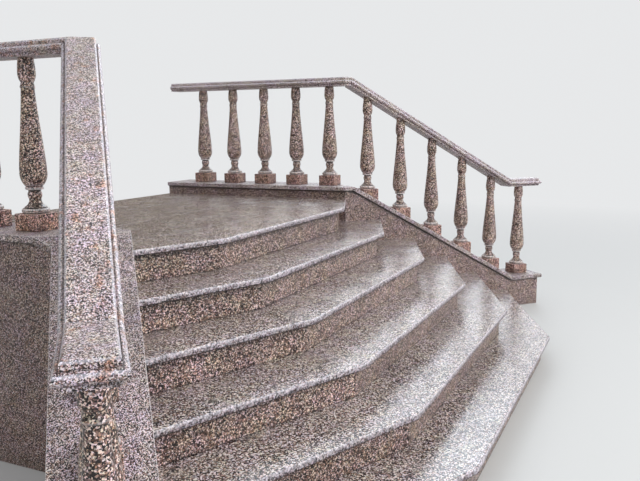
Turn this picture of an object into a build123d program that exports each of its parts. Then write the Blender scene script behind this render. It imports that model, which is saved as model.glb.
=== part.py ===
from build123d import *
import os
from math import atan, cos, radians, sin, tan

# Outdoor entrance steps of polished granite in front of a house door.
# A fan of six risers widens from a raised landing down to the ground. Each
# nosing has a straight centre length and two lengths swept back beside it.
# Low walls with a coping, turned balusters and a moulded handrail stand on
# both sides: straight beside the landing, then splayed down beside the steps.
# The origin lies on the ground in the middle of the plan. +X is to the right
# for someone who faces the steps, +Y runs towards the house, +Z is up.

# Steps
riser_count = 6
riser_height = 165.0
going_depth = 270.0
centre_half_length = 745.0
side_angle = 22.5
slab_thickness = 30.0
nosing_overhang = 50.0
nosing_top_radius = 9.0
nosing_bottom_radius = 6.0
riser_panel_thickness = 20.0
stone_joint = 2.0

# Landing
landing_half_width = 1250.0
landing_depth = 1850.0
edging_depth = 330.0
paving_columns = 4
paving_rows = 3

# Side walls
splay_angle = 47.5
wall_thickness = 290.0
wall_rise = 67.0
cheek_length = 1830.0
coping_thickness = 30.0
coping_overhang = 20.0
coping_end_overhang = 30.0
coping_bend_setback = 60.0

# Handrail: a narrow foot, a half-round bead, a groove and a raised panel
rail_half_width = 77.0
rail_foot_height = 15.0
rail_foot_inset = 17.0
rail_bead_height = 27.0
rail_bead_depth = 12.0
rail_groove_depth = 4.0
rail_panel_inset = 16.0
rail_height = 65.0
rail_panel_radius = 11.0
rail_bend_setback = 80.0
rail_end_overhang = 33.0

# Balusters, each on a square block
block_side = 130.0
block_height = 78.0
baluster_clear_height = 760.0
baluster_pitch = 291.0
rake_baluster_count = 6
rake_first_baluster_offset = 192.0
landing_baluster_count = 5
right_landing_baluster_offset = 132.0
left_landing_baluster_offset = 29.0

# Outline of a turned baluster: rises are above its block, drops are below the rail
baluster_sides = 10
foot_radius = 60.0
foot_height = 24.0
foot_bead_depth = 8.0
bell_radius = 49.0
bell_rise = 28.0
neck_radius = 26.0
neck_rise = 64.0
band_radius = 31.0
band_rise = 83.0
band_height = 22.0
ring_radius = 40.0
ring_rise = 112.0
ring_height = 13.0
ring_depth = 4.0
bulb_foot_radius = 39.0
bulb_foot_rise = 123.0
bulb_radius = 58.5
bulb_rise = 188.0
shaft_radius = 28.5
collar_radius = 32.0
collar_drop = 126.0
collar_height = 12.0
head_neck_radius = 27.0
head_neck_drop = 106.0
head_radius = 38.0
head_drop = 60.0
head_top_radius = 34.0
# Shares of the way out and up from one end of a curve to the other
swell_shape = (0.74, 0.40)
hollow_shape = (0.77, 0.35)
taper_shape = ((0.17, 0.20), (0.77, 0.70))

# Sizes worked out from the ones above
landing_level = riser_count * riser_height
plan_depth = (riser_count - 1) * going_depth + landing_depth
back_y = plan_depth / 2
landing_edge_y = back_y - landing_depth
side_slope = tan(radians(side_angle))
corner_y = landing_edge_y + (landing_half_width - centre_half_length) * side_slope
along = Vector(sin(radians(splay_angle)), -cos(radians(splay_angle)), 0)
across = Vector(cos(radians(splay_angle)), sin(radians(splay_angle)), 0)
corner = Vector(landing_half_width, corner_y, 0)
mitre_slope = tan(radians(splay_angle / 2))
step_pitch = going_depth / cos(radians(splay_angle - side_angle))
rake_run = (riser_count - 1) * step_pitch
rake_drop = (riser_count - 1) * riser_height
rake_slope = rake_drop / rake_run
rake_angle = atan(rake_slope)
wall_top = landing_level + wall_rise
coping_top = wall_top + coping_thickness
rail_bottom = coping_top + baluster_clear_height
rail_offset = wall_thickness / 2
rail_start = rail_offset * mitre_slope
rail_end = cheek_length + coping_end_overhang + rail_end_overhang
panel_back = nosing_overhang + riser_panel_thickness
core_split_y = corner_y + panel_back / cos(radians(side_angle))
far = 4 * plan_depth


def prism(points, bottom, top):
    """Upright prism over a plan outline."""
    outline = make_face(Polyline(*points, close=True))
    return Pos(0, 0, bottom) * extrude(outline, top - bottom)


def behind_nosing(level, inset=0.0):
    """Plan outline of all that lies behind the nosing of a level, moved back by inset."""
    reach = (riser_count - level) * going_depth - inset
    bend_x = centre_half_length + reach * tan(radians(side_angle / 2))
    bend_y = landing_edge_y - reach
    side_x = bend_x + plan_depth
    side_y = bend_y + plan_depth * side_slope
    return [
        (-bend_x, bend_y),
        (bend_x, bend_y),
        (side_x, side_y),
        (side_x, side_y + far),
        (-side_x, side_y + far),
        (-side_x, side_y),
    ]


def well():
    """Plan outline of the space between the side walls."""
    reach = corner + along * far
    return [
        (landing_half_width, back_y),
        (corner.X, corner.Y),
        (reach.X, reach.Y),
        (-reach.X, reach.Y),
        (-corner.X, corner.Y),
        (-landing_half_width, back_y),
    ]


def band(level, front_inset, back_level, back_inset, bottom, top):
    """Slab between two nosing outlines, cut to the side walls and jointed at its two bends."""
    stone = prism(behind_nosing(level, front_inset), bottom, top) & prism(well(), bottom, top)
    stone -= prism(behind_nosing(back_level, back_inset), bottom, top)
    lean = tan(radians(side_angle / 2))
    for side in (-1, 1):
        line = [
            (side * (centre_half_length + reach * lean) + half, landing_edge_y - reach)
            for reach, half in (
                (-far, -stone_joint / 2),
                (far, -stone_joint / 2),
                (far, stone_joint / 2),
                (-far, stone_joint / 2),
            )
        ]
        stone -= prism(line, bottom, top)
    return stone


def reach_of(point):
    """How far a point stands in front of the landing's nosing."""
    forward = landing_edge_y - point.Y
    angle = radians(side_angle)
    sideways = (abs(point.X) - centre_half_length) * sin(angle) + forward * cos(angle)
    return max(forward, sideways)


def round_nosing(slabs, level):
    """Soften the two front arrises of each slab."""
    top = level * riser_height
    reach = (riser_count - level) * going_depth
    stones = []
    for stone in slabs.solids():
        for height, radius in ((top, nosing_top_radius), (top - slab_thickness, nosing_bottom_radius)):
            edges = [
                edge
                for edge in stone.edges()
                if abs(edge.center().Z - height) < 0.01
                and abs(reach_of(edge.center()) - reach) < 0.01
            ]
            stone = stone.fillet(radius, edges)
        stones.append(stone)
    return Compound(children=stones)


def tread(level):
    top = level * riser_height
    slabs = band(level, 0, level + 1, panel_back, top - slab_thickness, top)
    return round_nosing(slabs, level)


def landing_edging():
    underside = landing_level - slab_thickness
    slabs = band(riser_count, 0, riser_count, edging_depth, underside, landing_level)
    return round_nosing(slabs, riser_count)


def riser(level):
    bottom = (level - 1) * riser_height
    top = level * riser_height - slab_thickness
    return band(level, nosing_overhang, level, panel_back, bottom, top)


def landing_paving():
    """Square-edged slabs between the edging and the house wall."""
    bottom = landing_level - slab_thickness
    field = prism(behind_nosing(riser_count, edging_depth + stone_joint), bottom, landing_level)
    field &= prism(well(), bottom, landing_level)
    column = 2 * landing_half_width / paving_columns
    row = (landing_depth - edging_depth) / paving_rows
    for index in range(1, paving_columns):
        x = index * column - landing_half_width
        field -= Pos(x, 0, landing_level) * Box(stone_joint, far, far)
    for index in range(1, paving_rows):
        y = back_y - index * row
        field -= Pos(0, y, landing_level) * Box(far, stone_joint, far)
    return field


def landing_core():
    top = landing_level - slab_thickness
    depth = back_y - core_split_y
    middle = Pos(0, back_y - depth / 2, top / 2)
    return middle * Box(2 * landing_half_width, depth, top)


def step_core():
    """Stepped mass under the slabs."""
    mass = None
    for level in range(1, riser_count + 1):
        bottom = max(0.0, (level - 1) * riser_height - slab_thickness)
        top = level * riser_height - slab_thickness
        course = prism(behind_nosing(level, panel_back), bottom, top) & prism(well(), bottom, top)
        course -= Pos(0, core_split_y + far / 2, 0) * Box(far, far, far)
        mass = course if mass is None else mass + course
    return mass


def side_profile(points, near, reach):
    """Prism across the splayed wall. Its outline lists distances along the wall and heights."""
    origin = corner + across * near
    plane = Plane(origin=origin, x_dir=along, z_dir=-across)
    return extrude(plane * make_face(Polyline(*points, close=True)), near - reach)


def rake_line(setback, level, rise):
    """Level, sloping and level again, raised square to itself by rise."""
    shift = rise * tan(rake_angle / 2)
    return [
        (-far, level + rise),
        (setback + shift, level + rise),
        (setback + rake_run + shift, level - rake_drop + rise),
        (far, level - rake_drop + rise),
    ]


def above(setback, level, rise):
    """All that lies above a rake line."""
    points = rake_line(setback, level, rise)
    return side_profile(points + [(far, far), (-far, far)], -far, far)


def wall_plan(overhang, end_overhang):
    """Plan outline of the right side's wall, landing and splayed parts together."""
    inner = corner + Vector(-overhang, -overhang * mitre_slope, 0)
    width = wall_thickness + overhang
    outer = corner + Vector(width, width * mitre_slope, 0)
    length = cheek_length + end_overhang
    inner_end = corner + along * length - across * overhang
    outer_end = corner + along * length + across * width
    return inner, outer, inner_end, outer_end


def landing_wall():
    inner, outer, _, _ = wall_plan(0, 0)
    plan = [(inner.X, back_y), (inner.X, inner.Y), (outer.X, outer.Y), (outer.X, back_y)]
    return prism(plan, 0, wall_top) - above(coping_bend_setback, wall_top, 0)


def cheek_wall():
    inner, outer, inner_end, outer_end = wall_plan(0, 0)
    plan = [(point.X, point.Y) for point in (inner, inner_end, outer_end, outer)]
    return prism(plan, 0, wall_top) - above(coping_bend_setback, wall_top, 0)


def surface_height(distance, setback, level):
    """Height of a rake line at a distance down the splayed wall."""
    fall = min(max(distance - setback, 0.0), rake_run) * rake_slope
    return level - fall


def coping_cut(distance, angle):
    """Joint through the coping at a distance down the wall, leaning by an angle from upright."""
    height = surface_height(distance, coping_bend_setback, wall_top)
    corners = (
        (-coping_thickness, -stone_joint / 2),
        (-coping_thickness, stone_joint / 2),
        (2 * coping_thickness, stone_joint / 2),
        (2 * coping_thickness, -stone_joint / 2),
    )
    points = [(distance + rise * tan(angle) + half, height + rise) for rise, half in corners]
    return side_profile(points, -far, far)


def coping_runs():
    """The coping's slabs beside the landing, down the rake and at the foot."""
    inner, outer, inner_end, outer_end = wall_plan(coping_overhang, coping_end_overhang)
    plan = [(inner.X, back_y)]
    plan += [(point.X, point.Y) for point in (inner, inner_end, outer_end, outer)]
    plan += [(outer.X, back_y)]
    coping = prism(plan, 0, coping_top + riser_height)
    coping -= above(coping_bend_setback, wall_top, coping_thickness)
    coping &= above(coping_bend_setback, wall_top, 0)
    foot = coping_bend_setback + rake_run
    coping -= coping_cut(coping_bend_setback, rake_angle / 2)
    coping -= coping_cut(coping_bend_setback + rake_run / 2, rake_angle)
    coping -= coping_cut(foot, rake_angle / 2)
    coping -= Pos(corner.X, (corner_y + back_y) / 2, wall_top) * Box(far, stone_joint, far)
    landing, rake, end = [], [], []
    for stone in coping.solids():
        distance = (stone.center() - corner).dot(along)
        if distance < coping_bend_setback:
            landing.append(stone)
        elif distance < foot:
            rake.append(stone)
        else:
            end.append(stone)
    return Compound(children=landing), Compound(children=rake), Compound(children=end)


def rail_side(sign):
    """One moulded edge of the handrail's section, from its underside to its top."""
    foot = sign * (rail_half_width - rail_foot_inset)
    heel = sign * (rail_half_width - rail_bead_depth)
    panel = sign * (rail_half_width - rail_panel_inset)
    bead_top = rail_foot_height + rail_bead_height
    bead_middle = (sign * rail_half_width, rail_foot_height + rail_bead_height / 2)
    groove = bead_top - rail_groove_depth
    crown = rail_height - rail_panel_radius
    crown_x = sign * (rail_half_width - rail_panel_inset - rail_panel_radius)
    return [
        Line((foot, 0), (foot, rail_foot_height)),
        Line((foot, rail_foot_height), (heel, rail_foot_height)),
        ThreePointArc((heel, rail_foot_height), bead_middle, (heel, bead_top)),
        Line((heel, bead_top), (heel, groove)),
        Line((heel, groove), (panel, groove)),
        Line((panel, groove), (panel, crown)),
        RadiusArc((panel, crown), (crown_x, rail_height), -sign * rail_panel_radius),
    ]


def rail_section():
    foot = rail_half_width - rail_foot_inset
    crown_x = rail_half_width - rail_panel_inset - rail_panel_radius
    edges = rail_side(1) + rail_side(-1)
    edges.append(Line((-foot, 0), (foot, 0)))
    edges.append(Line((-crown_x, rail_height), (crown_x, rail_height)))
    return make_face(edges)


def end_section():
    """The same moulding at one side only, for the return round the rail's end."""
    foot = rail_half_width - rail_foot_inset
    crown_x = rail_half_width - rail_panel_inset - rail_panel_radius
    edges = rail_side(1)
    edges.append(Line((-far, 0), (foot, 0)))
    edges.append(Line((-far, 0), (-far, rail_height)))
    edges.append(Line((-far, rail_height), (crown_x, rail_height)))
    return make_face(edges)


rail_corner = corner + across * rail_offset + along * rail_start
mitre_normal = (Vector(0, -1, 0) + along).normalized()


def rail_point(distance, height):
    """Point on the handrail's line, by distance along the splayed wall."""
    return corner + across * rail_offset + along * distance + Vector(0, 0, height)


def straight_rail(start, end):
    """Handrail section run from one point to another, its underside on the line."""
    run = end - start
    sideways = run.cross(Vector(0, 0, 1)).normalized()
    plane = Plane(origin=start, x_dir=sideways, z_dir=run.normalized())
    if plane.y_dir.Z < 0:
        plane = Plane(origin=start, x_dir=-sideways, z_dir=run.normalized())
    return extrude(plane * rail_section(), run.length)


def keep_side(solid, origin, normal):
    """The part of a solid that lies on the side its normal points to."""
    return split(solid, bisect_by=Plane(origin=origin, z_dir=normal), keep=Keep.TOP)


def handrail():
    """The handrail beside the landing, down the rake and at the foot."""
    level = Vector(0, 0, rail_bottom)
    turn = rail_corner + level
    top_bend = rail_point(rail_bend_setback, rail_bottom)
    foot_bend = rail_point(rail_bend_setback + rake_run, rail_bottom - rake_drop)
    tip = rail_point(rail_end, rail_bottom - rake_drop)
    slope = (foot_bend - top_bend).normalized()
    top_normal = (along + slope).normalized()
    half_joint = stone_joint / 2

    start = Vector(rail_corner.X, back_y, rail_bottom)
    landing = straight_rail(start, turn - Vector(0, wall_thickness, 0))
    landing = keep_side(landing, turn - mitre_normal * half_joint, -mitre_normal)

    stub = straight_rail(turn - along * wall_thickness, top_bend + along * wall_thickness)
    stub = keep_side(stub, turn + mitre_normal * half_joint, mitre_normal)
    stub = keep_side(stub, top_bend, -top_normal)
    rake = straight_rail(top_bend - slope * wall_thickness, foot_bend + slope * wall_thickness)
    rake = keep_side(rake, top_bend, top_normal)
    rake = keep_side(rake, turn + mitre_normal * half_joint, mitre_normal)
    rake = keep_side(rake, foot_bend - top_normal * half_joint, -top_normal)
    rake = stub + rake

    end = straight_rail(foot_bend - along * wall_thickness, tip)
    end = keep_side(end, foot_bend + top_normal * half_joint, top_normal)
    end_plane = Plane(
        origin=tip - along * rail_half_width - across * wall_thickness, x_dir=along, z_dir=-across
    )
    end &= extrude(end_plane * end_section(), -2 * wall_thickness)
    return landing, rake, end


def bead(radius, depth, bottom, top):
    """Rounded band that stands out from a turned piece."""
    return ThreePointArc((radius - depth, bottom), (radius, (bottom + top) / 2), (radius - depth, top))


def between(start, end, shares):
    """Outline point that lies shares of the way out and up from one point to another."""
    return tuple(a + (b - a) * share for a, b, share in zip(start, end, shares))


def baluster_outline(height):
    """Half outline of a turned baluster from foot to head: each stretch with its number of flats."""
    foot_edge = foot_radius - foot_bead_depth
    bell = (bell_radius, bell_rise)
    neck = (neck_radius, neck_rise)
    band_bottom = (band_radius, band_rise - band_height / 2)
    band_top = (band_radius, band_rise + band_height / 2)
    ring_edge = ring_radius - ring_depth
    ring_bottom = ring_rise - ring_height / 2
    ring_top = ring_rise + ring_height / 2
    bulb_foot = (bulb_foot_radius, bulb_foot_rise)
    bulb = (bulb_radius, bulb_rise)
    collar_bottom = (collar_radius, height - collar_drop - collar_height / 2)
    collar_top = (collar_radius, height - collar_drop + collar_height / 2)
    shaft_top = (shaft_radius, collar_bottom[1])
    head_neck = (head_neck_radius, height - head_neck_drop)
    head_side = (head_radius, height - head_drop)
    head_top = (head_top_radius, height + 2 * head_radius * rake_slope)
    hollow = between(bell, neck, hollow_shape)
    swell = between(bulb_foot, bulb, swell_shape)
    head_swell = between(head_neck, head_side, swell_shape)
    taper = [between(bulb, shaft_top, shares) for shares in taper_shape]
    return [
        (bead(foot_radius, foot_bead_depth, 0, foot_height), 2),
        (Line((foot_edge, foot_height), bell), 1),
        (ThreePointArc(bell, hollow, neck), 2),
        (Line(neck, band_bottom), 1),
        (Line(band_bottom, band_top), 1),
        (Line(band_top, (ring_edge, ring_bottom)), 1),
        (Line((ring_edge, ring_bottom), (ring_radius, ring_rise)), 1),
        (Line((ring_radius, ring_rise), (ring_edge, ring_top)), 1),
        (Line((ring_edge, ring_top), bulb_foot), 1),
        (ThreePointArc(bulb_foot, swell, bulb), 2),
        (Spline(bulb, *taper, shaft_top), 2),
        (Line(shaft_top, collar_bottom), 1),
        (Line(collar_bottom, collar_top), 1),
        (Line(collar_top, head_neck), 1),
        (ThreePointArc(head_neck, head_swell, head_side), 2),
        (Line(head_side, head_top), 1),
    ]


def turned_baluster(height):
    """Baluster cut to the same outline all round, with a few flats for each turned stretch."""
    outline = baluster_outline(height)
    places = [outline[0][0] @ 0]
    for stretch, flats in outline:
        places += [stretch @ (index / flats) for index in range(1, flats + 1)]
    points = [(place.X, place.Y) for place in places]
    points += [(-place.X, place.Y) for place in reversed(places)]
    face = Plane.XZ * make_face(Polyline(*points, close=True))
    blank = extrude(face, 2 * foot_radius, both=True)
    turned = blank
    for index in range(1, baluster_sides // 2):
        turned &= Rot(0, 0, index * 360 / baluster_sides) * blank
    return turned


def baluster_run(places):
    """Balusters and blocks at places given as a point, a turn and a distance along the wall."""
    blocks, balusters = [], []
    rail_underside = above(rail_bend_setback, rail_bottom, 0)
    coping_surface = above(coping_bend_setback, wall_top, coping_thickness)
    for place, turn, distance in places:
        foot = surface_height(distance, coping_bend_setback, coping_top)
        head = surface_height(distance, rail_bend_setback, rail_bottom)
        block_top = foot + block_height
        block = Pos(place.X, place.Y, foot) * Rot(0, 0, turn)
        block *= Box(block_side, block_side, 2 * block_height)
        blocks.append((block & coping_surface).solid())
        turned = turned_baluster(head - block_top)
        turned = Pos(place.X, place.Y, block_top) * turned
        balusters.append((turned - rail_underside).solid())
    return Compound(children=balusters), Compound(children=blocks)


def rake_places():
    places = []
    for index in range(rake_baluster_count):
        distance = rail_start + rake_first_baluster_offset + index * baluster_pitch
        places.append((rail_point(distance, 0), splay_angle, distance))
    return places


def landing_places(first_offset):
    places = []
    for index in range(landing_baluster_count):
        y = rail_corner.Y + first_offset + index * baluster_pitch
        places.append((Vector(rail_corner.X, y, 0), 0, -far))
    return places


def side_pieces():
    """The walls, copings, raking balusters and rails of the right side, by name."""
    landing_coping, rake_coping, end_coping = coping_runs()
    landing_rail, rake_rail, end_rail = handrail()
    rake_balusters, rake_blocks = baluster_run(rake_places())
    return {
        "landing_wall": landing_wall(),
        "cheek_wall": cheek_wall(),
        "landing_coping": landing_coping,
        "rake_coping": rake_coping,
        "end_coping": end_coping,
        "rake_blocks": rake_blocks,
        "rake_balusters": rake_balusters,
        "landing_rail": landing_rail,
        "rake_rail": rake_rail,
        "end_rail": end_rail,
    }


def main():
    pieces = {
        "landing_core": landing_core(),
        "step_core": step_core(),
        "landing_edging": landing_edging(),
        "landing_paving": landing_paving(),
    }
    for level in range(1, riser_count + 1):
        pieces[f"riser_{level}"] = riser(level)
    for level in range(1, riser_count):
        pieces[f"tread_{level}"] = tread(level)
    shared = side_pieces()
    offsets = {"right": right_landing_baluster_offset, "left": left_landing_baluster_offset}
    for side, offset in offsets.items():
        balusters, blocks = baluster_run(landing_places(offset))
        landing_pieces = {"landing_balusters": balusters, "landing_blocks": blocks}
        for name, piece in (shared | landing_pieces).items():
            pieces[f"{side}_{name}"] = mirror(piece, about=Plane.YZ) if side == "left" else piece
    os.makedirs("parts", exist_ok=True)
    for name, piece in pieces.items():
        export_step(piece, f"parts/{name}.step")


main()
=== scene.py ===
import random
from math import atan2, cos, pi, radians, sin

import bmesh
import bpy
from bpy.props import FloatProperty, FloatVectorProperty, IntProperty, PointerProperty
from mathutils import Matrix, Vector


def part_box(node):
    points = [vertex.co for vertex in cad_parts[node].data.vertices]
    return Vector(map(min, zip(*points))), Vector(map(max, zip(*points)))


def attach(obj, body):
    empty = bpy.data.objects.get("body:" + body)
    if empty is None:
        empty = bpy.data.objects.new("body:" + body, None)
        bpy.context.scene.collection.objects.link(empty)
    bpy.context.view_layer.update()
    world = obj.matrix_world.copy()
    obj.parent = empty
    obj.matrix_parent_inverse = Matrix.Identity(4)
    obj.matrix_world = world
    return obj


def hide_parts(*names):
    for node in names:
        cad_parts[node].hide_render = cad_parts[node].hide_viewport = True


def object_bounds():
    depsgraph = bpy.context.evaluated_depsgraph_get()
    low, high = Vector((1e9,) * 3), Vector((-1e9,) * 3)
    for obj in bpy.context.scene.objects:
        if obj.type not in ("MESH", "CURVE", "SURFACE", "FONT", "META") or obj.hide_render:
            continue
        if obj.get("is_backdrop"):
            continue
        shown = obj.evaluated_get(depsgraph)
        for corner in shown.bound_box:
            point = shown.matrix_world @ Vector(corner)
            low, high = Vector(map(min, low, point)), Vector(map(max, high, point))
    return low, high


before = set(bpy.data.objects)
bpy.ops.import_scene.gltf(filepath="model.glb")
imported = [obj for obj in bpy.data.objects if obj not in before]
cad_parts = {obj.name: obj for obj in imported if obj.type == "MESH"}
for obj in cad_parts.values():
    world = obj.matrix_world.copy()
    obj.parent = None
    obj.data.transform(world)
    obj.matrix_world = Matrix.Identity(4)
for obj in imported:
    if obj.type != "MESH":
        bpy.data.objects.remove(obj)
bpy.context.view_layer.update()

bl_info = {
    "name": "Granite entrance steps",
    "version": (1, 0, 0),
    "blender": (4, 5, 0),
    "location": "View3D > Sidebar > Steps",
    "description": "Dresses a flight of granite entrance steps with cut, turned and moulded stone",
    "category": "Add Mesh",
}

ROOT = "root"
SIDES = ("right", "left")

WELD = 1e-5
FLAT_ANGLE = radians(0.5)
EDGE_ANGLE = radians(30)
CUT_SHARP_ANGLE = radians(20)
TURNED_SHARP_ANGLE = radians(32)

# Upward part of a normal: above it a face is a top or a head, and below it an edge is a lower edge.
TOP_FACING = 0.3
HEAD_FACING = 0.5
LOWER_EDGE_FACING = -0.3

# Attributes of a piece's corners: a number for each stone, and wear and painted light from 1, worn pale
# with a painted highlight, to -1, dirty with painted shade.
STONE = "stone"
WEAR_AND_PAINTED_LIGHT = "wear_and_painted_light"
DIRT_AND_SHADE_MARK = -1.0
RIM_DIRT_AND_SHADE_MARK = -0.8

# Height over which a baluster's radii are compared, and the difference that makes a rim fully pale with
# wear and a painted highlight, and a groove fully dark with dirt and painted shade.
WEAR_REACH = 0.008
WEAR_DEPTH = 0.003

# Where the middle minerals start, as shares of what black flakes and pale feldspar leave.
MAUVE_START = 0.32
PINK_START = 0.62
GREY_START = 0.86

# Against a crystal: the waves of its outline, the larger flakes and the finer flecks.
WAVES_A_CRYSTAL = 0.6
WAVE_REACH = 1.1
FLAKE_SIZE = 1.5
FLECKS_A_CRYSTAL = 2.5

# Larger flakes, as a share of the black ones.
FLAKE_SHARE = 0.35

STONE_SHIFT = (7.3, 11.7, 0.0)
HUE_SHIFT = (3.1, 5.7, 1.3)
RELIEF_SCALE = 160.0

# Tints, which a stone's colour is multiplied by.
# Painted shade and reflection: the polish darker towards the back.
BACK_SHADE_TINT = (0.76, 0.75, 0.73)
# Painted shade on the lower part of a slab's front edge.
EDGE_SHADE_TINT = (0.46, 0.43, 0.50)
OCHRE_TINT = (1.02, 0.93, 0.60)
RUST_TINT = (1.00, 0.66, 0.46)

SENSOR_WIDTH = 36.0
FLOOR_REACH = 60.0
FLOOR_GAP = 0.001
FLOOR_FADE = (4.0, 11.0)


def flight_nodes():
    """Names of the flight's risers and treads, from the ground up."""
    risers = sorted(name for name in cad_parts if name.startswith("riser_"))
    treads = sorted(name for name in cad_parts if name.startswith("tread_"))
    return risers, treads


RISERS, TREADS = flight_nodes()
RISER_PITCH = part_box(RISERS[1])[0].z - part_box(RISERS[0])[0].z
SLAB_SHARE = (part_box(TREADS[0])[0].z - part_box(RISERS[0])[0].z) / RISER_PITCH


class GraniteSettings(bpy.types.PropertyGroup):
    """Minerals of the granite."""

    grain: FloatProperty(name="Grain", description="Size of a crystal", default=0.0044, unit="LENGTH")
    black: FloatVectorProperty(
        name="Mica", description="Black flakes", subtype="COLOR", default=(0.010, 0.008, 0.009)
    )
    brown: FloatVectorProperty(
        name="Brown", description="Dark brown crystals", subtype="COLOR", default=(0.085, 0.050, 0.036)
    )
    mauve: FloatVectorProperty(
        name="Mauve", description="Mauve brown feldspar", subtype="COLOR", default=(0.210, 0.145, 0.135)
    )
    pink: FloatVectorProperty(
        name="Pink", description="Pink feldspar", subtype="COLOR", default=(0.400, 0.275, 0.220)
    )
    grey: FloatVectorProperty(
        name="Grey", description="Grey quartz", subtype="COLOR", default=(0.330, 0.310, 0.300)
    )
    pale: FloatVectorProperty(
        name="Pale", description="Pale feldspar", subtype="COLOR", default=(0.800, 0.730, 0.690)
    )


class PatinaSettings(bpy.types.PropertyGroup):
    """Wear, dirt and weather on the stone, with painted highlights, sheen and shade, and the concrete of
    the fill.
    """

    # A dull film with a painted sheen of the sky, lightening the tops.
    film_and_sheen: FloatVectorProperty(
        name="Film and sheen", description="Dull film on the polish", subtype="COLOR", default=(0.350, 0.305, 0.300)
    )
    # Painted highlight along the top of a slab's front edge.
    edge_highlight: FloatVectorProperty(
        name="Edge highlight", description="Painted highlight on the top of a sawn edge", subtype="COLOR", default=(0.86, 0.82, 0.90)
    )
    # Painted shade: near black on a nosing's underside and just under it on the riser.
    nosing_shade: FloatVectorProperty(
        name="Nosing shade", description="Underside of a nosing", subtype="COLOR", default=(0.012, 0.010, 0.010)
    )
    # Dirt together with painted shade, in hollows, along lower edges and under a coping.
    dirt_and_shade: FloatVectorProperty(
        name="Dirt and shade", description="Dirt in hollows and along lower edges", subtype="COLOR",
        default=(0.03, 0.024, 0.022),
    )
    damp: FloatVectorProperty(
        name="Damp", description="Foot of the side walls", subtype="COLOR", default=(0.09, 0.07, 0.055)
    )
    # These two are worn pale edges with a painted highlight along them.
    worn_edge_and_highlight: FloatVectorProperty(
        name="Worn edge", description="Worn edges of weathered stone", subtype="COLOR",
        default=(0.86, 0.82, 0.82),
    )
    worn_wall_and_highlight: FloatVectorProperty(
        name="Worn wall", description="Worn edges of the side walls", subtype="COLOR",
        default=(0.62, 0.58, 0.58),
    )
    # Painted highlight on the handrail's upper slopes.
    slope_highlight: FloatVectorProperty(
        name="Slope highlight", description="Painted highlight on the slopes of the handrail", subtype="COLOR",
        default=(0.80, 0.82, 0.94),
    )
    concrete: FloatVectorProperty(
        name="Concrete", description="Concrete of the fill", subtype="COLOR", default=(0.21, 0.205, 0.19)
    )
    lime: FloatVectorProperty(
        name="Lime", description="Pale patches on the concrete", subtype="COLOR",
        default=(0.31, 0.30, 0.285),
    )


class StoneSettings(bpy.types.PropertyGroup):
    """Worked edges of the cut stones, and the dirt and painted shade along them."""

    slab_arris: FloatProperty(
        name="Slab arris", description="Width of a slab's ground edge", default=0.0012, unit="LENGTH"
    )
    wall_arris: FloatProperty(
        name="Wall arris", description="Width of a wall's ground edge", default=0.0025, unit="LENGTH"
    )
    block_arris: FloatProperty(
        name="Block arris", description="Width of a block's ground edge", default=0.003, unit="LENGTH"
    )
    rail_arris: FloatProperty(
        name="Rail arris", description="Width of a handrail's ground edge", default=0.0015, unit="LENGTH"
    )
    # Painted shadow of the coping on the top of a wall.
    coping_shadow_depth: FloatProperty(
        name="Wall soil", description="Height of the dirt under a coping", default=0.026, unit="LENGTH"
    )
    # The three below are dirt with painted shade along lower edges.
    coping_dirt_and_shade_below: FloatProperty(
        name="Coping drip", description="Dirt along a coping's lower edges", default=0.6, subtype="FACTOR"
    )
    block_dirt_and_shade_below: FloatProperty(
        name="Block drip", description="Dirt along a block's lower edges", default=0.7, subtype="FACTOR"
    )
    rail_dirt_and_shade_below: FloatProperty(
        name="Rail drip", description="Dirt along a handrail's lower edges", default=0.6, subtype="FACTOR"
    )


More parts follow.
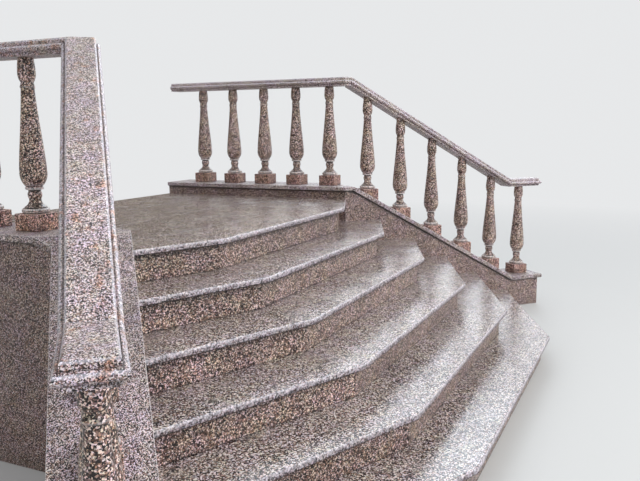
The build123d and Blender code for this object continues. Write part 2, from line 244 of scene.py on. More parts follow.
class TurningSettings(bpy.types.PropertyGroup):
    """Outline of a turned baluster: rises from its block and drops from the handrail."""

    steps: IntProperty(name="Steps", description="Flats round a baluster", default=48)
    foot_radius: FloatProperty(
        name="Foot radius", description="Radius of the band on the block", default=0.060, unit="LENGTH"
    )
    foot_height: FloatProperty(
        name="Foot height", description="Height of the band on the block", default=0.024, unit="LENGTH"
    )
    groove_depth: FloatProperty(
        name="Groove depth", description="How deep the grooves are cut", default=0.004, unit="LENGTH"
    )
    bell_radius: FloatProperty(
        name="Bell radius", description="Radius of the bell above the foot", default=0.049, unit="LENGTH"
    )
    bell_rise: FloatProperty(
        name="Bell rise", description="Where the bell starts", default=0.028, unit="LENGTH"
    )
    neck_radius: FloatProperty(
        name="Neck radius", description="Radius at the bell's narrow end", default=0.026, unit="LENGTH"
    )
    neck_rise: FloatProperty(
        name="Neck rise", description="Where the bell ends", default=0.064, unit="LENGTH"
    )
    band_radius: FloatProperty(
        name="Band radius", description="Radius of the narrow band", default=0.031, unit="LENGTH"
    )
    band_rise: FloatProperty(
        name="Band rise", description="Middle of the narrow band", default=0.083, unit="LENGTH"
    )
    band_height: FloatProperty(
        name="Band height", description="Height of the narrow band", default=0.022, unit="LENGTH"
    )
    ring_radius: FloatProperty(
        name="Ring radius", description="Radius of the ring under the bulb", default=0.040, unit="LENGTH"
    )
    ring_rise: FloatProperty(
        name="Ring rise", description="Middle of the ring under the bulb", default=0.112, unit="LENGTH"
    )
    ring_height: FloatProperty(
        name="Ring height", description="Height of the ring under the bulb", default=0.013, unit="LENGTH"
    )
    bulb_foot_radius: FloatProperty(
        name="Bulb foot radius", description="Radius where the bulb starts", default=0.039, unit="LENGTH"
    )
    bulb_foot_rise: FloatProperty(
        name="Bulb foot rise", description="Where the bulb starts", default=0.123, unit="LENGTH"
    )
    bulb_radius: FloatProperty(
        name="Bulb radius", description="Radius of the bulb at its widest", default=0.0585, unit="LENGTH"
    )
    bulb_rise: FloatProperty(
        name="Bulb rise", description="Where the bulb is widest", default=0.188, unit="LENGTH"
    )
    shaft_radius: FloatProperty(
        name="Shaft radius", description="Radius under the collar", default=0.0285, unit="LENGTH"
    )
    collar_radius: FloatProperty(
        name="Collar radius", description="Radius of the collar", default=0.032, unit="LENGTH"
    )
    collar_drop: FloatProperty(
        name="Collar drop", description="Middle of the collar", default=0.126, unit="LENGTH"
    )
    collar_height: FloatProperty(
        name="Collar height", description="Height of the collar", default=0.012, unit="LENGTH"
    )
    head_neck_radius: FloatProperty(
        name="Head neck radius", description="Radius over the collar", default=0.027, unit="LENGTH"
    )
    head_neck_drop: FloatProperty(
        name="Head neck drop", description="Where the head starts", default=0.106, unit="LENGTH"
    )
    head_radius: FloatProperty(
        name="Head radius", description="Radius of the head at its widest", default=0.038, unit="LENGTH"
    )
    head_drop: FloatProperty(
        name="Head drop", description="Where the head is widest", default=0.060, unit="LENGTH"
    )
    head_top_radius: FloatProperty(
        name="Head top radius", description="Radius under the handrail", default=0.032, unit="LENGTH"
    )


class StageSettings(bpy.types.PropertyGroup):
    """Camera, floor and light."""

    camera_place: FloatVectorProperty(
        name="Camera", description="Where the camera stands", subtype="TRANSLATION",
        default=(-3.775, -2.199, 1.533),
    )
    heading: FloatProperty(
        name="Heading", description="Camera heading from +X", default=radians(25.307), subtype="ANGLE"
    )
    pitch: FloatProperty(
        name="Pitch", description="How far the camera looks down", default=radians(8.893), subtype="ANGLE"
    )
    roll: FloatProperty(name="Roll", description="Camera roll", default=radians(-0.516), subtype="ANGLE")
    lens: FloatProperty(name="Lens", description="Focal length", default=40.54, subtype="DISTANCE_CAMERA")
    floor_colour: FloatVectorProperty(
        name="Floor", description="Colour of the floor", subtype="COLOR", default=(0.62, 0.62, 0.61)
    )
    backdrop_colour: FloatVectorProperty(
        name="Backdrop", description="Colour behind the steps", subtype="COLOR", default=(0.80, 0.81, 0.82)
    )
    open_light: FloatProperty(name="Open side", description="Low light from the open side", default=1.30)
    back_light: FloatProperty(name="Back", description="Low light from the back", default=0.17)
    left_share: FloatProperty(
        name="Left share", description="Share of the low light on the left", default=0.58, subtype="FACTOR"
    )
    top_light: FloatProperty(name="Top light", description="Light from above", default=0.80)
    open_colour: FloatVectorProperty(
        name="Open colour", description="Colour of the light from the open side",
        subtype="COLOR", default=(0.93, 0.96, 1.0),
    )
    back_colour: FloatVectorProperty(
        name="Back colour", description="Colour of the low light from the back", subtype="COLOR",
        default=(1.0, 0.83, 0.62),
    )
    sheen_light: FloatProperty(name="Sheen", description="Light beyond the right side", default=4.9)
    sheen_colour: FloatVectorProperty(
        name="Sheen colour", description="Colour of the light beyond the right side", subtype="COLOR",
        default=(0.80, 0.90, 1.0),
    )
    sheen_direction: FloatVectorProperty(
        name="Sheen direction", description="Way to the light beyond the right side",
        subtype="XYZ", default=(0.811, 0.279, 0.515),
    )
    key_place: FloatVectorProperty(
        name="Key light", description="Where the key light hangs", subtype="TRANSLATION",
        default=(-1.0, -8.0, 7.0),
    )
    key_target: FloatVectorProperty(
        name="Key target", description="What the key light points at", subtype="TRANSLATION",
        default=(0.0, 0.0, 0.5),
    )
    key_width: FloatProperty(
        name="Key width", description="Width of the key light", default=7.0, unit="LENGTH"
    )
    key_height: FloatProperty(
        name="Key height", description="Height of the key light", default=5.0, unit="LENGTH"
    )
    key_power: FloatProperty(
        name="Key power", description="Power of the key light", default=500.0, unit="POWER"
    )
    key_colour: FloatVectorProperty(
        name="Key colour", description="Colour of the key light", subtype="COLOR", default=(1.0, 0.98, 0.95)
    )


def settings():
    """The scene's settings of the steps."""
    return bpy.context.scene.steps


def feed(tree, socket, value):
    """Links a socket to an input, or sets the input's value."""
    if isinstance(value, bpy.types.NodeSocket):
        tree.links.new(value, socket)
    else:
        socket.default_value = value


def add(tree, kind, inputs=None, **values):
    """Adds a shader node with its settings. An input is a socket to link from, or a value."""
    node = tree.nodes.new(kind)
    for name, value in values.items():
        setattr(node, name, value)
    for name, value in (inputs or {}).items():
        feed(tree, node.inputs[name], value)
    return node


def maths(tree, operation, *values, clamp=False):
    """Result of an operation on numbers."""
    inputs = dict(enumerate(values))
    return add(tree, "ShaderNodeMath", inputs, operation=operation, use_clamp=clamp).outputs[0]


def vector_maths(tree, operation, *values):
    """Result of an operation on vectors or colours."""
    inputs = dict(enumerate(values))
    return add(tree, "ShaderNodeVectorMath", inputs, operation=operation).outputs["Vector"]


def product(tree, first, second):
    """One number times another."""
    return maths(tree, "MULTIPLY", first, second)


def scaled(tree, vector, factors):
    """A vector or a colour times another."""
    return vector_maths(tree, "MULTIPLY", vector, factors)


def combined(tree, x, y, z):
    """Three numbers as a vector or a colour."""
    return add(tree, "ShaderNodeCombineXYZ", {"X": x, "Y": y, "Z": z}).outputs[0]


def toned(tree, colour, tone):
    """A colour made darker or lighter by a number."""
    return scaled(tree, colour, combined(tree, tone, tone, tone))


def mix_colours(tree, share, first, second):
    """The first colour with a share of the second in it."""
    node = add(tree, "ShaderNodeMix", {0: share}, data_type="RGBA")
    for socket, colour in ((node.inputs[6], first), (node.inputs[7], second)):
        linked = isinstance(colour, bpy.types.NodeSocket)
        feed(tree, socket, colour if linked else (*colour, 1.0))
    return node.outputs[2]


def mapped(tree, value, low, high, to_low=0.0, to_high=1.0):
    """Maps a value between two limits to another range and holds it there."""
    names = ("From Min", "From Max", "To Min", "To Max")
    inputs = dict(zip(names, (low, high, to_low, to_high)))
    node = add(tree, "ShaderNodeMapRange", {"Value": value, **inputs}, clamp=True)
    return node.outputs["Result"]


def along(tree, vector, axis):
    """One coordinate of a vector."""
    return add(tree, "ShaderNodeSeparateXYZ", {"Vector": vector}).outputs[axis]


def noise(tree, spot, scale, detail=2.0, roughness=0.5):
    """Cloudy noise with its middle at a half."""
    inputs = {"Vector": spot, "Scale": scale, "Detail": detail, "Roughness": roughness}
    return add(tree, "ShaderNodeTexNoise", inputs).outputs["Fac"]


def patches(tree, clouds, low=0.0, high=1.0):
    """Noise spread over the range from low to high."""
    return mapped(tree, clouds, 0.3, 0.7, low, high)


def shader_tree(name):
    """A new material with its node tree and its shader."""
    material = bpy.data.materials.new(f"dressed_{name}")
    material.use_nodes = True
    tree = material.node_tree
    tree.nodes.clear()
    output = tree.nodes.new("ShaderNodeOutputMaterial")
    shader = tree.nodes.new("ShaderNodeBsdfPrincipled")
    tree.links.new(shader.outputs["BSDF"], output.inputs["Surface"])
    return material, tree, shader


def dress(tree, shader, colour, roughness):
    """Gives a shader its colour and its roughness."""
    tree.links.new(colour, shader.inputs["Base Color"])
    tree.links.new(roughness, shader.inputs["Roughness"])


def relief(tree, shader, height, strength, distance=0.001):
    """Bumps that are too small to model."""
    bump = add(tree, "ShaderNodeBump", {"Height": height, "Strength": strength, "Distance": distance})
    tree.links.new(bump.outputs["Normal"], shader.inputs["Normal"])


def object_place(tree):
    """Object coordinates, which are the frame's."""
    return tree.nodes.new("ShaderNodeTexCoord").outputs["Object"]


def stone_spot(tree):
    """Object coordinates, the same shifted for each stone, and the number of the stone."""
    place = object_place(tree)
    stone = add(tree, "ShaderNodeAttribute", attribute_name=STONE).outputs["Fac"]
    shift = scaled(tree, combined(tree, stone, stone, stone), STONE_SHIFT)
    return place, vector_maths(tree, "ADD", place, shift), stone


def upward(tree):
    """How far a surface faces up, from -1 to 1."""
    return along(tree, tree.nodes.new("ShaderNodeNewGeometry").outputs["Normal"], "Z")


def course_share(tree, place):
    """Height within a step, from 0 at a riser's foot to 1 on its tread."""
    height = maths(tree, "SUBTRACT", along(tree, place, "Z"), WELD)
    return maths(tree, "FRACT", maths(tree, "DIVIDE", height, RISER_PITCH))


def crystals(tree, spot, size):
    """Three random numbers for each crystal, and how far a point is from its crystal's middle."""
    cells = add(tree, "ShaderNodeTexVoronoi", {"Vector": spot, "Scale": 1.0 / size})
    numbers = add(tree, "ShaderNodeSeparateColor", {"Color": cells.outputs["Color"]}).outputs
    return numbers, cells.outputs["Distance"]


def mineral_bands(tree, number, black, pale):
    """The mineral of a crystal by its number, with the shares of black flakes and of pale feldspar."""
    look = settings().granite
    middle = 1.0 - black - pale
    bands = (
        (0.0, look.black),
        (black, look.brown),
        (black + MAUVE_START * middle, look.mauve),
        (black + PINK_START * middle, look.pink),
        (black + GREY_START * middle, look.grey),
        (1.0 - pale, look.pale),
    )
    ramp = add(tree, "ShaderNodeValToRGB", {"Fac": number})
    ramp.color_ramp.interpolation = "CONSTANT"
    while len(ramp.color_ramp.elements) < len(bands):
        ramp.color_ramp.elements.new(1.0)
    for element, (start, colour) in zip(ramp.color_ramp.elements, bands):
        element.position = start
        element.color = (*colour, 1.0)
    return ramp.outputs["Color"]


def minerals(tree, spot, black, pale, tint, coarseness=1.0):
    """Speckled colour of the granite, and a height for its relief."""
    look = settings().granite
    grain = look.grain * coarseness
    waves = add(tree, "ShaderNodeTexNoise", {"Vector": spot, "Scale": WAVES_A_CRYSTAL / grain})
    waves = vector_maths(tree, "SUBTRACT", waves.outputs["Color"], (0.5, 0.5, 0.5))
    waves = scaled(tree, waves, (WAVE_REACH * grain,) * 3)
    spot = vector_maths(tree, "ADD", spot, waves)
    numbers, height = crystals(tree, spot, grain)
    redder = mapped(tree, numbers[1], 0.0, 1.0, 0.91, 1.09)
    bluer = mapped(tree, numbers[2], 0.0, 1.0, 0.86, 1.12)
    hue = combined(tree, redder, 1.0, bluer)
    colour = scaled(tree, mineral_bands(tree, numbers[0], black, pale), hue)
    flakes, _ = crystals(tree, spot, FLAKE_SIZE * grain)
    flaked = maths(tree, "LESS_THAN", flakes[0], FLAKE_SHARE * black)
    colour = mix_colours(tree, flaked, colour, look.black)
    flecks = patches(tree, noise(tree, spot, FLECKS_A_CRYSTAL / grain), 0.78, 1.22)
    return scaled(tree, toned(tree, colour, flecks), tint), height


def clouded(tree, colour, spot, stone, spread):
    """Slow changes of tone over a stone and from stone to stone, and of hue from pink to ochre."""
    clouds = patches(tree, noise(tree, spot, 3.2, 3.0), 1.0 - spread, 1.0 + spread)
    tone = mapped(tree, stone, 0.0, 1.0, 1.0 - 0.6 * spread, 1.0 + 0.6 * spread)
    ochre = noise(tree, vector_maths(tree, "ADD", spot, HUE_SHIFT), 13.0, 3.0, 0.6)
    green = mapped(tree, ochre, 0.35, 0.65, 1.0 - 0.20 * spread, 1.0 + 0.25 * spread)
    blue = mapped(tree, ochre, 0.35, 0.65, 1.0 + 0.50 * spread, 1.0 - 0.65 * spread)
    colour = scaled(tree, colour, combined(tree, 1.0, green, blue))
    return toned(tree, colour, product(tree, clouds, tone))


def edge_wear_and_painted_light(tree, colour, place, pale, share):
    """Broken pale wear with a painted highlight where a piece is marked as worn, dark dirt with painted
    shade where it is marked as dirty.
    """
    wear_and_painted_light = add(tree, "ShaderNodeAttribute", attribute_name=WEAR_AND_PAINTED_LIGHT).outputs["Fac"]
    chips = noise(tree, place, 150.0, 3.0, 0.7)
    broken = mapped(tree, chips, 0.38, 0.62, 0.35 * share, 1.15 * share)
    outer = maths(tree, "MULTIPLY", mapped(tree, wear_and_painted_light, 0.20, 0.90), broken, clamp=True)
    inner = mapped(tree, wear_and_painted_light, -0.30, -0.90, 0.0, 0.95)
    # Pale edges: wear and a painted highlight; dark marks: dirt and painted shade.
    colour = mix_colours(tree, outer, colour, pale)
    return mix_colours(tree, inner, colour, settings().patina.dirt_and_shade)


def front_edge_light_and_shade(tree, colour, place, spot):
    """Front edge of a slab: painted shade below, and a painted highlight in blots towards its top."""
    rise = mapped(tree, course_share(tree, place), SLAB_SHARE, 1.0)
    blots = mapped(tree, noise(tree, spot, 95.0, 3.0, 0.7), 0.36, 0.64, -0.70, 0.45)
    # Painted highlight towards the top of the front edge, broken into blots, over painted shade below it.
    highlight_share = maths(tree, "ADD", product(tree, rise, 0.90), blots, clamp=True)
    edge_shade = scaled(tree, colour, EDGE_SHADE_TINT)
    edge_highlight = mix_colours(tree, 0.60, colour, settings().patina.edge_highlight)
    return mix_colours(tree, highlight_share, edge_shade, edge_highlight)


def polished_granite():
    """Worn polish of the treads and the landing, with a dull film and painted sheen on top, painted shade
    and reflection darker towards the back, and sawn front edges with a painted highlight over painted
    shade.
    """
    look = settings().patina
    material, tree, shader = shader_tree("polished_granite")
    place, spot, stone = stone_spot(tree)
    colour, _ = minerals(tree, spot, black=0.27, pale=0.30, tint=(1.02, 0.97, 1.00), coarseness=1.16)
    colour = clouded(tree, colour, place, stone, spread=0.12)
    # Dull film with a painted sheen, lighter on the tops in patches.
    film_and_sheen = mix_colours(tree, 0.12, colour, look.film_and_sheen)
    top = mix_colours(tree, patches(tree, noise(tree, place, 3.1, 4.0)), colour, film_and_sheen)
    # Painted shade and reflection: the tops darker towards the back.
    backward = mapped(tree, along(tree, place, "Y"), -0.60, 0.20)
    top = mix_colours(tree, backward, top, scaled(tree, top, BACK_SHADE_TINT))
    up = upward(tree)
    edge = front_edge_light_and_shade(tree, colour, place, spot)
    # Painted shade: faces that turn downwards, under the nosing, go near black.
    edge = mix_colours(tree, mapped(tree, up, -0.10, -0.45), edge, look.nosing_shade)
    colour = mix_colours(tree, mapped(tree, up, 0.78, 0.97), edge, top)
    worn = mapped(tree, noise(tree, place, 5.0, 5.0, 0.6), 0.35, 0.7, 0.20, 0.32)
    sawn = mapped(tree, up, 0.55, 0.85, 0.20, 0.0)
    dress(tree, shader, colour, maths(tree, "ADD", worn, sawn))
    relief(tree, shader, noise(tree, spot, RELIEF_SCALE), strength=0.06)
    return material


def riser_granite():
    """Honed risers: painted shade under the nosing, black just under it, a dark joint at the foot, ochre
    growth in patches.
    """
    material, tree, shader = shader_tree("riser_granite")
    place, spot, stone = stone_spot(tree)
    colour, _ = minerals(tree, spot, black=0.28, pale=0.19, tint=(1.09, 0.97, 0.97))
    colour = clouded(tree, colour, place, stone, spread=0.14)
    growth = mapped(tree, noise(tree, place, 7.0, 4.0, 0.6), 0.52, 0.72, 0.0, 0.30)
    colour = mix_colours(tree, growth, colour, scaled(tree, colour, OCHRE_TINT))
    share = course_share(tree, place)
    # Painted shade under the nosing: a darker band, then a near black painted shadow just under it.
    shade = mapped(tree, share, SLAB_SHARE - 0.20, SLAB_SHARE - 0.05, 1.0, 0.60)
    nosing_shade = mapped(tree, share, SLAB_SHARE - 0.06, SLAB_SHARE, 1.0, 0.15)
    joint = mapped(tree, share, 0.012, 0.028, 0.25, 1.0)
    colour = toned(tree, colour, product(tree, product(tree, shade, nosing_shade), joint))
    dress(tree, shader, colour, patches(tree, noise(tree, place, 6.0, 4.0), 0.30, 0.46))
    relief(tree, shader, noise(tree, spot, RELIEF_SCALE), strength=0.10)
    return material


def wall_granite():
    """Honed facing of the side walls, damp at its foot, with a painted shadow under the coping."""
    look = settings().patina
    material, tree, shader = shader_tree("wall_granite")
    place, spot, stone = stone_spot(tree)
    colour, _ = minerals(tree, spot, black=0.27, pale=0.19, tint=(0.90, 0.78, 0.80), coarseness=0.76)
    colour = clouded(tree, colour, place, stone, spread=0.12)
    uneven = product(tree, noise(tree, place, 4.0, 4.0), 0.12)
    height = maths(tree, "ADD", along(tree, place, "Z"), uneven)
    colour = mix_colours(tree, mapped(tree, height, 0.04, 0.16, 0.40, 0.0), colour, look.damp)
    # Pale edges: wear with a painted highlight; dark marks: dirt with painted shade, and a painted shadow
    # under the coping.
    colour = edge_wear_and_painted_light(tree, colour, place, look.worn_wall_and_highlight, share=0.40)
    dress(tree, shader, colour, patches(tree, noise(tree, place, 6.0, 4.0), 0.26, 0.42))
    relief(tree, shader, noise(tree, spot, RELIEF_SCALE), strength=0.10)
    return material


def weathered_stone(name, black, pale, tint, coarseness, pits, worn):
    """Granite that has lost its polish: pitted, pale where it is worn and given a painted highlight, dark
    with dirt and painted shade in hollows. Its colour isn't linked yet.
    """
    material, tree, shader = shader_tree(name)
    place, spot, stone = stone_spot(tree)
    colour, height = minerals(tree, spot, black, pale, tint, coarseness)
    colour = clouded(tree, colour, place, stone, spread=0.14)
    # Pale edges: wear with a painted highlight; dark marks: dirt with painted shade in hollows and along
    # lower edges.
    colour = edge_wear_and_painted_light(tree, colour, place, settings().patina.worn_edge_and_highlight, worn)
    relief(tree, shader, height, pits, distance=0.002)
    return material, tree, shader, place, colour


def weathered(name, roughness, **look):
    """Weathered granite with patches that are smoother and rougher."""
    material, tree, shader, place, colour = weathered_stone(name, **look)
    rough = patches(tree, noise(tree, place, 11.0, 3.0), roughness - 0.07, roughness + 0.07)
    dress(tree, shader, colour, rough)
    return material


def coping_granite():
    """Slabs on the side walls, the most worn along their edges, with the strongest painted highlight there.
    """
    return weathered(
        "coping_granite", roughness=0.48, black=0.24, pale=0.32, tint=(1.00, 0.95, 1.06),
        coarseness=0.66, pits=0.30, worn=1.00,
    )


def block_granite():
    """Redder blocks under the balusters."""
    return weathered(
        "block_granite", roughness=0.50, black=0.26, pale=0.21, tint=(1.20, 0.87, 0.80),
        coarseness=0.90, pits=0.22, worn=0.50,
    )


def baluster_granite():
    """Turned balusters, the smoothest of the weathered stone."""
    return weathered(
        "baluster_granite", roughness=0.34, black=0.31, pale=0.22, tint=(1.09, 0.95, 0.92),
        coarseness=0.98, pits=0.15, worn=0.65,
    )


def rail_granite():
    """Handrail: smooth on top, with a painted highlight on its slopes, with rust brown growth on the left
    one.
    """
    material, tree, shader, place, colour = weathered_stone(
        "rail_granite", black=0.19, pale=0.37, tint=(1.00, 0.94, 1.04), coarseness=0.64, pits=0.40,
        worn=0.42,
    )
    up = upward(tree)
    # Painted highlight on faces that slope up sideways.
    slope = product(tree, mapped(tree, up, 0.15, 0.40), mapped(tree, up, 0.84, 0.76))
    colour = mix_colours(tree, product(tree, slope, 0.30), colour, settings().patina.slope_highlight)
    spots = mapped(tree, noise(tree, place, 24.0, 5.0, 0.62), 0.56, 0.66)
    leftward = mapped(tree, along(tree, place, "X"), 0.2, -0.6)
    growth = product(tree, product(tree, spots, leftward), 0.80)
    colour = mix_colours(tree, growth, colour, scaled(tree, colour, RUST_TINT))
    dress(tree, shader, colour, mapped(tree, up, 0.80, 0.97, 0.44, 0.26))
    return material


def core_concrete():
    """Cast fill with fine pores and pale lime patches."""
    look = settings().patina
    material, tree, shader = shader_tree("core_concrete")
    place = object_place(tree)
    limed = patches(tree, noise(tree, place, 3.0, 5.0, 0.6))
    colour = mix_colours(tree, limed, look.concrete, look.lime)
    sand = mapped(tree, noise(tree, place, 240.0), 0.35, 0.65, 0.85, 1.12)
    tree.links.new(toned(tree, colour, sand), shader.inputs["Base Color"])
    shader.inputs["Roughness"].default_value = 0.85
    relief(tree, shader, noise(tree, place, 120.0, 4.0), 0.35, distance=0.002)
    return material


FINISHES = {
    "polished_granite": polished_granite,
    "riser_granite": riser_granite,
    "wall_granite": wall_granite,
    "coping_granite": coping_granite,
    "block_granite": block_granite,
    "baluster_granite": baluster_granite,
    "rail_granite": rail_granite,
    "core_concrete": core_concrete,
}


def finish(slot):
    """The material of a slot, made when it is first asked for."""
    return bpy.data.materials.get(f"dressed_{slot}") or FINISHES[slot]()


def merged_copy(node):
    """The CAD node's mesh with its corners merged and its flat faces whole."""
    shape = bmesh.new()
    shape.from_mesh(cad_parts[node].data)
    bmesh.ops.remove_doubles(shape, verts=shape.verts, dist=WELD)
    bmesh.ops.dissolve_limit(shape, angle_limit=FLAT_ANGLE, verts=shape.verts, edges=shape.edges)
    return shape


def islands(shape):
    """Lists of the vertices of each separate stone."""
    left = set(shape.verts)
    found = []
    while left:
        start = min(left, key=lambda vert: vert.index)
        island = [start]
        left.remove(start)
        for vert in island:
            for edge in vert.link_edges:
                other = edge.other_vert(vert)
                if other in left:
                    left.remove(other)
                    island.append(other)
        found.append(island)
    return found


def number_stones(shape, name):
    """Gives each stone of a piece a number of its own for its grain and tone."""
    shape.verts.index_update()
    layer = shape.verts.layers.float.new(STONE)
    draw = random.Random(name)
    for island in islands(shape):
        number = draw.random()
        for vert in island:
            vert[layer] = number


def shade(shape, sharp_angle):
    """Smooth shading with sharp edges where two faces meet at more than an angle."""
    for face in shape.faces:
        face.smooth = True
    for edge in shape.edges:
        edge.smooth = len(edge.link_faces) == 2 and edge.calc_face_angle(0.0) < sharp_angle


def place_piece(shape, name, slot, node, sharp_angle):
    """Makes the piece, which rides on the steps and stands for a CAD node."""
    number_stones(shape, name)
    shade(shape, sharp_angle)
    mesh = bpy.data.meshes.new(name)
    shape.to_mesh(mesh)
    shape.free()
    piece = bpy.data.objects.new(name, mesh)
    bpy.context.scene.collection.objects.link(piece)
    mesh.materials.append(finish(slot))
    level = piece.modifiers.new("flat faces", "WEIGHTED_NORMAL")
    level.keep_sharp = True
    level.weight = 100
    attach(piece, ROOT)
    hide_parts(node)


def painted_coping_shadow(shape, layer, depth):
    """Painted shadow down to a depth under each of the tops, where the coping lies on a wall."""
    tops = [face for face in shape.faces if face.normal.z > TOP_FACING]
    planes = [(face.calc_center_median(), face.normal.copy()) for face in tops]
    for centre, normal in planes:
        bmesh.ops.bisect_plane(
            shape, geom=[*shape.verts, *shape.edges, *shape.faces], dist=WELD,
            plane_co=centre - normal * depth, plane_no=normal,
        )
    for face in shape.faces:
        if face.normal.z > TOP_FACING:
            for vert in face.verts:
                vert[layer] = DIRT_AND_SHADE_MARK


def mark_edges(made, layer, dirt_and_shade_below):
    """Marks a bevel's middle lines: worn pale with a painted highlight on outer edges, dirty with painted
    shade in hollows and along lower edges.
    """
    strips = set(made["faces"])
    for vert in made["verts"]:
        if vert[layer] < 0.0 or not all(face in strips for face in vert.link_faces):
            continue
        bend = sum(edge.calc_face_angle_signed(0.0) for edge in vert.link_edges)
        # Hollows get dirt and painted shade, outer edges wear and a painted highlight.
        if bend <= 0.0:
            vert[layer], rim = DIRT_AND_SHADE_MARK, RIM_DIRT_AND_SHADE_MARK
        # Lower edges: dirt with painted shade.
        elif dirt_and_shade_below and vert.normal.z < LOWER_EDGE_FACING:
            vert[layer], rim = -dirt_and_shade_below, -dirt_and_shade_below
        else:
            vert[layer] = 1.0
            continue
        for edge in vert.link_edges:
            other = edge.other_vert(vert)
            other[layer] = min(other[layer], rim)


def cut_stones(node, slot, arris, dirt_and_shade_below=0.0, coping_shadow=0.0):
    """Stones of a CAD node with their edges ground off."""
    shape = merged_copy(node)
    layer = shape.verts.layers.float.new(WEAR_AND_PAINTED_LIGHT)
    # Painted shadow of the coping along the top of a wall.
    if coping_shadow:
        painted_coping_shadow(shape, layer, coping_shadow)
    edges = [edge for edge in shape.edges if edge.calc_face_angle(0.0) > EDGE_ANGLE]
    made = bmesh.ops.bevel(
        shape, geom=edges, offset=arris, offset_type="OFFSET", affect="EDGES",
        segments=2, profile=0.5, material=-1, clamp_overlap=True,
    )
    mark_edges(made, layer, dirt_and_shade_below)
    place_piece(shape, f"{node}_cut", slot, node, CUT_SHARP_ANGLE)


def arc(start, middle, end, count):
    """Points on the circle through three, without the first."""
    a, b, c = Vector(start), Vector(middle), Vector(end)
    rises = (b.y - c.y, c.y - a.y, a.y - b.y)
    runs = (c.x - b.x, a.x - c.x, b.x - a.x)
    squares = (a.length_squared, b.length_squared, c.length_squared)
    spread = 2 * (a.x * rises[0] + b.x * rises[1] + c.x * rises[2])
    x = sum(square * rise for square, rise in zip(squares, rises)) / spread
    y = sum(square * run for square, run in zip(squares, runs)) / spread
    centre = Vector((x, y))
    first = atan2(a.y - y, a.x - x)
    turn = (a - centre).angle_signed(b - centre) + (b - centre).angle_signed(c - centre)
    radius = (a - centre).length
    angles = [first - turn * index / count for index in range(1, count + 1)]
    return [(x + radius * cos(angle), y + radius * sin(angle)) for angle in angles]


def bead(radius, depth, bottom, top):
    """Rounded band, from its foot to its top."""
    foot = (radius - depth, bottom)
    return [foot] + arc(foot, (radius, (bottom + top) / 2), (radius - depth, top), count=8)


def share_between(start, end, outward, upward_share):
    """A point between two, by its shares of their radii and heights."""
    return (
        start[0] + (end[0] - start[0]) * outward,
        start[1] + (end[1] - start[1]) * upward_share,
    )


def curve(start, first, second, end, count):
    """Points on a curve that leaves start towards first and reaches end from second."""
    corners = (start, first, second, end)
    points = []
    for index in range(1, count + 1):
        t = index / count
        shares = ((1 - t) ** 3, 3 * t * (1 - t) ** 2, 3 * t * t * (1 - t), t ** 3)
        radius = sum(share * corner[0] for share, corner in zip(shares, corners))
        height = sum(share * corner[1] for share, corner in zip(shares, corners))
        points.append((radius, height))
    return points


def taper(start, end, count):
    """Upright at the bulb, then nearly straight, and slightly steeper again at the top of the shaft."""
    first = share_between(start, end, 0.0, 0.16)
    second = share_between(end, start, 0.20, 0.34)
    return curve(start, first, second, end, count)


def shoulder(start, end, count):
    """The head's rounded side, upright at its widest."""
    first = share_between(start, end, 0.0, 0.4)
    second = share_between(end, start, 0.4, 0.2)
    return curve(start, first, second, end, count)


def baluster_outline(height, slope):
    """Half outline of a turned baluster, with its collar and head lowered under a sloping handrail."""
    size = settings().turning
    groove = size.groove_depth
    band_bottom = size.band_rise - size.band_height / 2
    band_top = size.band_rise + size.band_height / 2
    ring_bottom = size.ring_rise - size.ring_height / 2
    ring_top = size.ring_rise + size.ring_height / 2
    bell = (size.bell_radius, size.bell_rise)
    neck = (size.neck_radius, size.neck_rise)
    bulb_foot = (size.bulb_foot_radius, size.bulb_foot_rise)
    bulb = (size.bulb_radius, size.bulb_rise)
    top = height + size.head_radius
    height -= size.head_top_radius * slope
    collar_bottom = height - size.collar_drop - size.collar_height / 2
    collar_top = height - size.collar_drop + size.collar_height / 2
    shaft_top = (size.shaft_radius, collar_bottom)
    head_neck = (size.head_neck_radius, height - size.head_neck_drop)
    head_side = (size.head_radius, height - size.head_drop)
    points = [(0.0, 0.0)]
    points += bead(size.foot_radius, size.foot_height / 2.2, 0.0, size.foot_height)
    points += [(bell[0] - groove, size.foot_height), (bell[0] - groove, bell[1] - groove / 2), bell]
    points += arc(bell, share_between(bell, neck, 0.72, 0.36), neck, count=10)
    points += bead(size.band_radius, groove / 2, band_bottom, band_top)
    points += [(size.band_radius - groove, band_top + groove / 2)]
    points += [(size.band_radius - groove, ring_bottom)]
    points += bead(size.ring_radius, groove, ring_bottom, ring_top)
    points += [(size.bulb_foot_radius - groove, ring_top + groove / 2), bulb_foot]
    points += arc(bulb_foot, share_between(bulb_foot, bulb, 0.76, 0.40), bulb, count=14)
    points += taper(bulb, shaft_top, count=24)
    points += bead(size.collar_radius, groove / 2, collar_bottom, collar_top)
    points += [head_neck]
    points += arc(head_neck, share_between(head_neck, head_side, 0.74, 0.40), head_side, count=10)
    points += shoulder(head_side, (size.head_top_radius, height), count=6)
    points += [(size.head_top_radius, top), (0.0, top)]
    return points


def outline_wear_and_painted_light(points):
    """How far each point stands out from the outline near it, from 1 on a rim to -1 in a groove."""
    wear_and_painted_light = []
    for radius, height in points:
        near = [other for other, level in points[1:-1] if abs(level - height) < WEAR_REACH]
        middle = (min(near, default=radius) + max(near, default=radius)) / 2
        wear_and_painted_light.append(max(-1.0, min(1.0, (radius - middle) / WEAR_DEPTH)))
    return wear_and_painted_light


def baluster_seat(island):
    """Middle of a plain baluster's foot, middle of its top, and the way that the top faces."""
    low = min(vert.co.z for vert in island)
    feet = [vert.co for vert in island if vert.co.z < low + WELD]
    foot = sum(feet, Vector()) / len(feet)
    foot.z = low
    faces = {face for vert in island for face in vert.link_faces if face.normal.z > HEAD_FACING}
    head = max(faces, key=lambda face: face.calc_center_median().z)
    return foot, head.calc_center_median(), head.normal.copy()


def verts_from(shape, start):
    """The vertices that a shape has beyond its first ones."""
    shape.verts.ensure_lookup_table()
    return shape.verts[start:]


